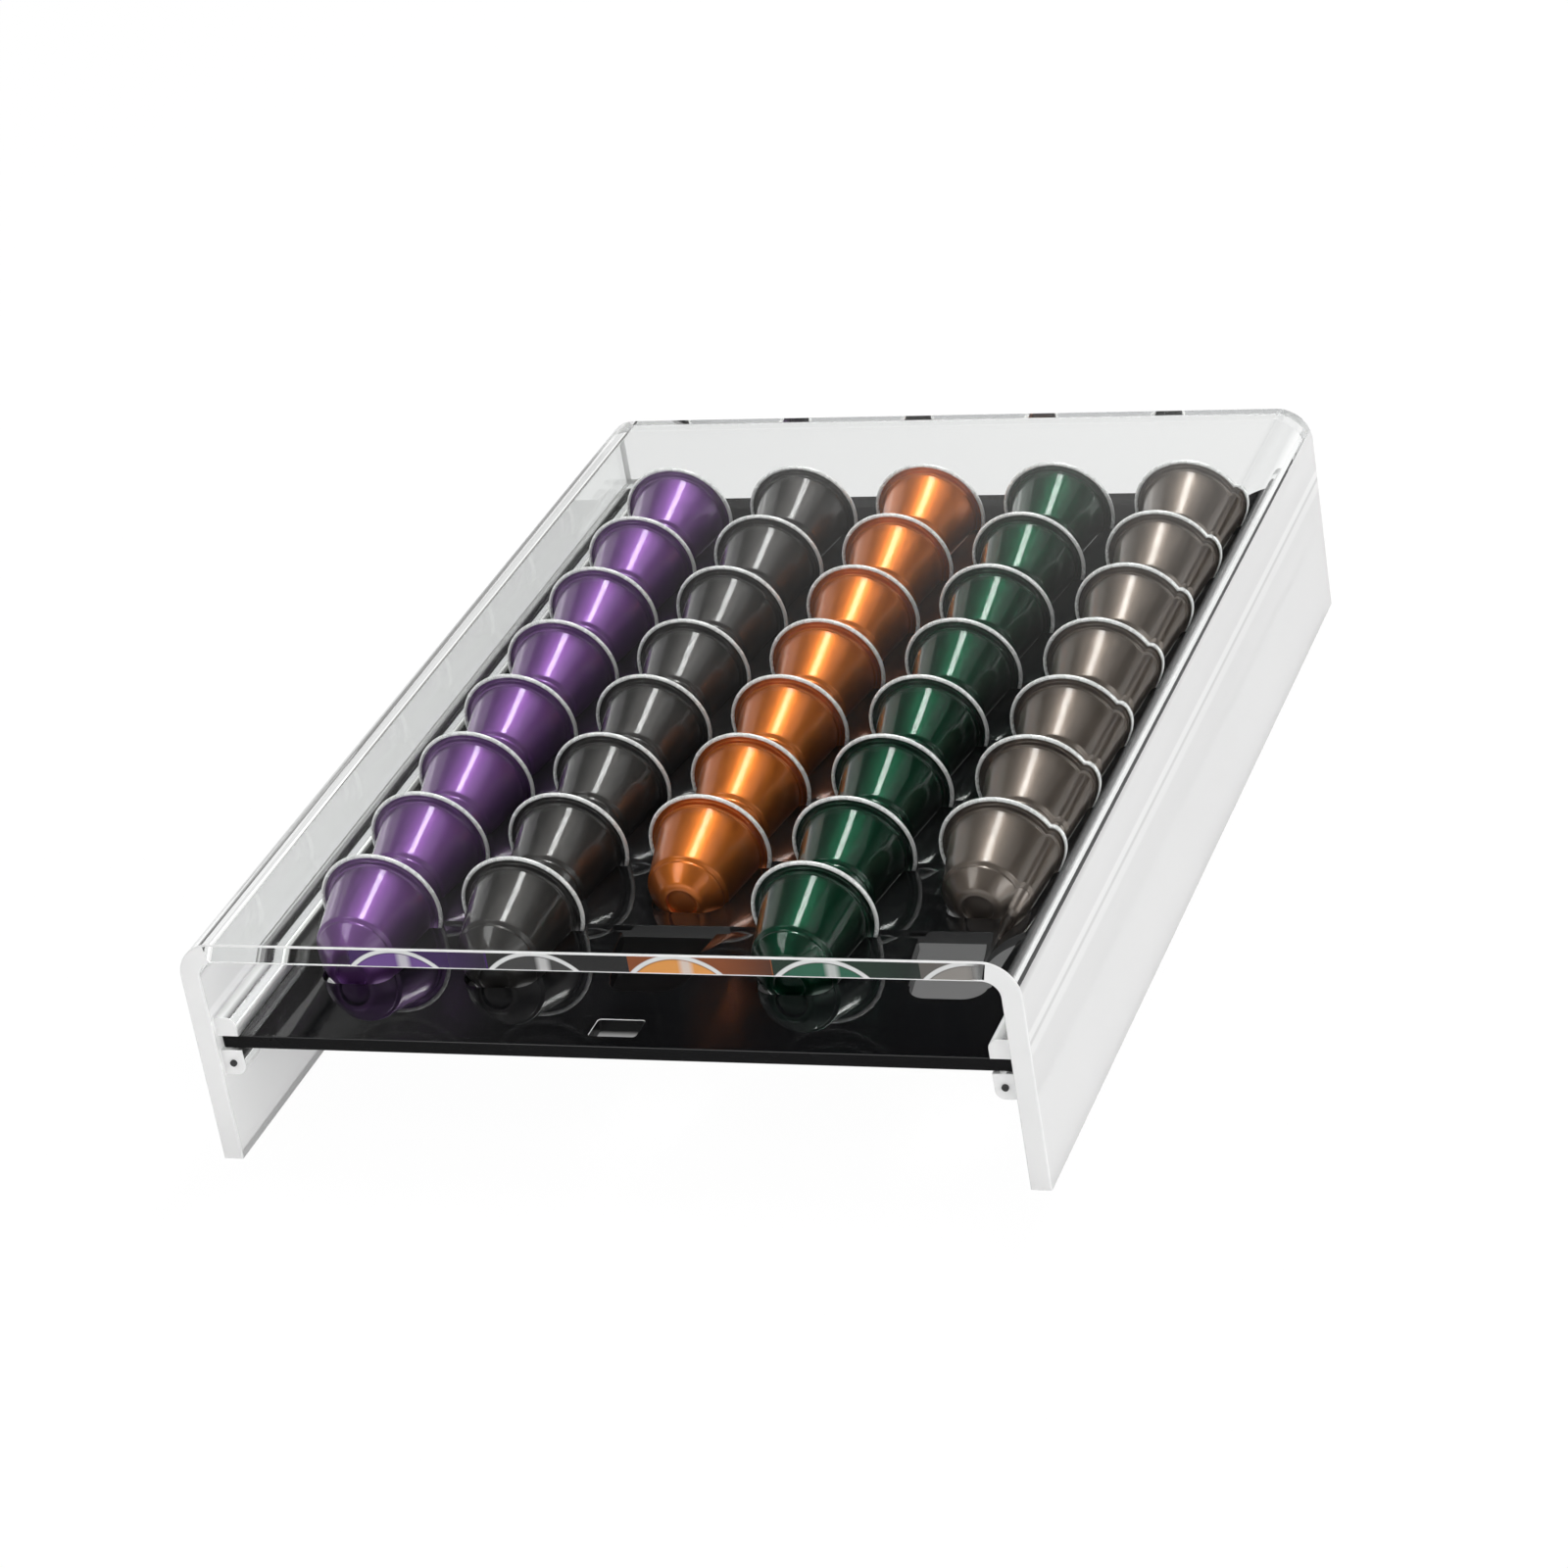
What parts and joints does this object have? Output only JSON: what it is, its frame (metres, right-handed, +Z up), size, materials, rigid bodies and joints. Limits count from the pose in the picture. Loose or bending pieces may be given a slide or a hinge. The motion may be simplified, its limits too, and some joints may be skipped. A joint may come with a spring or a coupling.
{
  "type": "coffee pod drawer",
  "caption": "Clear bent stand with a black tray that slides out on clear rails and holds coffee pods lying in shaped seats; a machine can stand on its flat top.",
  "frame": {"origin": "on the table, under the middle of the stand", "axes": "+X to the right seen from the front, +Y to the back, +Z up; the drawer pulls out towards -Y"},
  "size_m": [0.245, 0.356, 0.07],
  "materials": {
    "clear_acrylic": "clear polished sheet, heat bent, with polished edges",
    "dark_pin": "dark, smooth",
    "black_acrylic": "black polished sheet, mirror gloss",
    "pod_purple": "satin lacquered aluminium",
    "pod_black": "satin lacquered aluminium",
    "pod_copper": "satin lacquered aluminium",
    "pod_green": "satin lacquered aluminium",
    "pod_taupe": "satin lacquered aluminium",
    "lid_foil": "thin sealed foil"
  },
  "bodies": {
    "stand": {"stand": "clear_acrylic", "upper_rail_left": "clear_acrylic", "upper_rail_right": "clear_acrylic", "lower_rail_left": "clear_acrylic", "lower_rail_right": "clear_acrylic", "rail_pin_left": "dark_pin", "rail_pin_right": "dark_pin"},
    "drawer": {"tray": "black_acrylic", "pod_purple_1": "pod_purple", "pod_purple_2": "pod_purple", "pod_purple_3": "pod_purple", "pod_purple_4": "pod_purple", "pod_purple_5": "pod_purple", "pod_purple_6": "pod_purple", "pod_purple_7": "pod_purple", "pod_purple_8": "pod_purple", "pod_black_1": "pod_black", "pod_black_2": "pod_black", "pod_black_3": "pod_black", "pod_black_4": "pod_black", "pod_black_5": "pod_black", "pod_black_6": "pod_black", "pod_black_7": "pod_black", "pod_black_8": "pod_black", "pod_copper_2": "pod_copper", "pod_copper_3": "pod_copper", "pod_copper_4": "pod_copper", "pod_copper_5": "pod_copper", "pod_copper_6": "pod_copper", "pod_copper_7": "pod_copper", "pod_copper_8": "pod_copper", "pod_green_1": "pod_green", "pod_green_2": "pod_green", "pod_green_3": "pod_green", "pod_green_4": "pod_green", "pod_green_5": "pod_green", "pod_green_6": "pod_green", "pod_green_7": "pod_green", "pod_green_8": "pod_green", "pod_taupe_2": "pod_taupe", "pod_taupe_3": "pod_taupe", "pod_taupe_4": "pod_taupe", "pod_taupe_5": "pod_taupe", "pod_taupe_6": "pod_taupe", "pod_taupe_7": "pod_taupe", "pod_taupe_8": "pod_taupe", "lids_purple": "lid_foil", "lids_black": "lid_foil", "lids_copper": "lid_foil", "lids_green": "lid_foil", "lids_taupe": "lid_foil"}
  },
  "joints": [
    {"name": "tray_slide", "type": "slide", "parent": "stand", "child": "drawer", "axis": [0, -1, 0], "range_m": [0, 0.24]}
  ]
}
